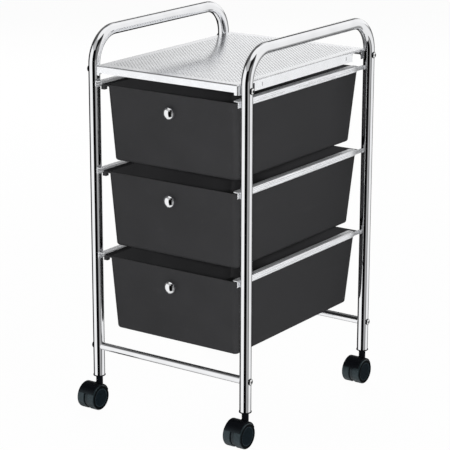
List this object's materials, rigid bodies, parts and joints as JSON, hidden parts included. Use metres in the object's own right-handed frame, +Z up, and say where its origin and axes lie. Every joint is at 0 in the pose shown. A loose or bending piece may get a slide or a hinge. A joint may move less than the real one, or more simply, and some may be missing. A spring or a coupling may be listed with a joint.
{
  "type": "rolling storage cart",
  "caption": "Rolling storage cart of bent chrome tube with handle bars, a perforated top shelf and tapered pull-out drawers with round knobs, on swivelling twin-wheel casters.",
  "frame": {"origin": "on the floor, under the middle of the cart's outline with the casters trailing towards the front", "axes": "+Z up, -Y is the front where the drawers open, +X to the right as seen from the front"},
  "size_m": [0.3326, 0.413, 0.6451],
  "materials": {
    "chrome_tube": "bright chrome plating on steel tube",
    "chrome_sheet": "bright chrome plating on pressed sheet",
    "rail_sheet": "satin chrome plating on rolled channel",
    "chrome_screw": "chrome-plated domed heads",
    "chrome_knob": "polished chrome",
    "zinc_steel": "bright zinc plating",
    "drawer_plastic": "fine satin moulded grain",
    "caster_plastic": "satin black nylon",
    "wheel_plastic": "semi-gloss black nylon"
  },
  "bodies": {
    "frame": {"left_hoop": "chrome_tube", "left_bottom_rail": "rail_sheet", "left_middle_rail": "rail_sheet", "left_top_rail": "rail_sheet", "right_hoop": "chrome_tube", "right_bottom_rail": "rail_sheet", "right_middle_rail": "rail_sheet", "right_top_rail": "rail_sheet", "shelf_panel": "chrome_sheet", "front_cross_tube": "chrome_tube", "rear_cross_tube": "chrome_tube", "cross_tube_inserts": "zinc_steel", "shelf_screws": "chrome_screw", "cross_tube_screws": "chrome_screw", "shelf_nuts": "zinc_steel", "front_left_socket": "caster_plastic", "front_left_stem": "zinc_steel", "front_right_socket": "caster_plastic", "front_right_stem": "zinc_steel", "rear_left_socket": "caster_plastic", "rear_left_stem": "zinc_steel", "rear_right_socket": "caster_plastic", "rear_right_stem": "zinc_steel"},
    "bottom_drawer_unit": {"bottom_drawer": "drawer_plastic", "bottom_knob": "chrome_knob", "bottom_knob_screw": "zinc_steel"},
    "middle_drawer_unit": {"middle_drawer": "drawer_plastic", "middle_knob": "chrome_knob", "middle_knob_screw": "zinc_steel"},
    "top_drawer_unit": {"top_drawer": "drawer_plastic", "top_knob": "chrome_knob", "top_knob_screw": "zinc_steel"},
    "front_left_swivel_unit": {"front_left_housing": "caster_plastic", "front_left_axle": "zinc_steel"},
    "front_left_left_wheel_unit": {"front_left_left_wheel": "wheel_plastic"},
    "front_left_right_wheel_unit": {"front_left_right_wheel": "wheel_plastic"},
    "front_right_swivel_unit": {"front_right_housing": "caster_plastic", "front_right_axle": "zinc_steel"},
    "front_right_left_wheel_unit": {"front_right_left_wheel": "wheel_plastic"},
    "front_right_right_wheel_unit": {"front_right_right_wheel": "wheel_plastic"},
    "rear_left_swivel_unit": {"rear_left_housing": "caster_plastic", "rear_left_axle": "zinc_steel"},
    "rear_left_left_wheel_unit": {"rear_left_left_wheel": "wheel_plastic"},
    "rear_left_right_wheel_unit": {"rear_left_right_wheel": "wheel_plastic"},
    "rear_right_swivel_unit": {"rear_right_housing": "caster_plastic", "rear_right_axle": "zinc_steel"},
    "rear_right_left_wheel_unit": {"rear_right_left_wheel": "wheel_plastic"},
    "rear_right_right_wheel_unit": {"rear_right_right_wheel": "wheel_plastic"}
  },
  "joints": [
    {"name": "bottom_drawer_slide", "type": "slide", "parent": "frame", "child": "bottom_drawer_unit", "axis": [0, -1, 0], "range_m": [0, 0.26]},
    {"name": "middle_drawer_slide", "type": "slide", "parent": "frame", "child": "middle_drawer_unit", "axis": [0, -1, 0], "range_m": [0, 0.26]},
    {"name": "top_drawer_slide", "type": "slide", "parent": "frame", "child": "top_drawer_unit", "axis": [0, -1, 0], "range_m": [0, 0.26]},
    {"name": "front_left_swivel", "type": "hinge", "parent": "frame", "child": "front_left_swivel_unit", "pos_m": [-0.1485, -0.16728, 0.05], "axis": [0, 0, 1], "continuous": true},
    {"name": "front_left_left_wheel_roll", "type": "hinge", "parent": "front_left_swivel_unit", "child": "front_left_left_wheel_unit", "pos_m": [-0.1485, -0.18527, 0.02125], "axis": [1, 0, 0], "continuous": true},
    {"name": "front_left_right_wheel_roll", "type": "hinge", "parent": "front_left_swivel_unit", "child": "front_left_right_wheel_unit", "pos_m": [-0.1485, -0.18527, 0.02125], "axis": [1, 0, 0], "continuous": true},
    {"name": "front_right_swivel", "type": "hinge", "parent": "frame", "child": "front_right_swivel_unit", "pos_m": [0.1485, -0.16728, 0.05], "axis": [0, 0, 1], "continuous": true},
    {"name": "front_right_left_wheel_roll", "type": "hinge", "parent": "front_right_swivel_unit", "child": "front_right_left_wheel_unit", "pos_m": [0.1485, -0.18527, 0.02125], "axis": [1, 0, 0], "continuous": true},
    {"name": "front_right_right_wheel_roll", "type": "hinge", "parent": "front_right_swivel_unit", "child": "front_right_right_wheel_unit", "pos_m": [0.1485, -0.18527, 0.02125], "axis": [1, 0, 0], "continuous": true},
    {"name": "rear_left_swivel", "type": "hinge", "parent": "frame", "child": "rear_left_swivel_unit", "pos_m": [-0.1485, 0.19623, 0.05], "axis": [0, 0, 1], "continuous": true},
    {"name": "rear_left_left_wheel_roll", "type": "hinge", "parent": "rear_left_swivel_unit", "child": "rear_left_left_wheel_unit", "pos_m": [-0.1485, 0.17822, 0.02125], "axis": [1, 0, 0], "continuous": true},
    {"name": "rear_left_right_wheel_roll", "type": "hinge", "parent": "rear_left_swivel_unit", "child": "rear_left_right_wheel_unit", "pos_m": [-0.1485, 0.17822, 0.02125], "axis": [1, 0, 0], "continuous": true},
    {"name": "rear_right_swivel", "type": "hinge", "parent": "frame", "child": "rear_right_swivel_unit", "pos_m": [0.1485, 0.19623, 0.05], "axis": [0, 0, 1], "continuous": true},
    {"name": "rear_right_left_wheel_roll", "type": "hinge", "parent": "rear_right_swivel_unit", "child": "rear_right_left_wheel_unit", "pos_m": [0.1485, 0.17822, 0.02125], "axis": [1, 0, 0], "continuous": true},
    {"name": "rear_right_right_wheel_roll", "type": "hinge", "parent": "rear_right_swivel_unit", "child": "rear_right_right_wheel_unit", "pos_m": [0.1485, 0.17822, 0.02125], "axis": [1, 0, 0], "continuous": true}
  ]
}
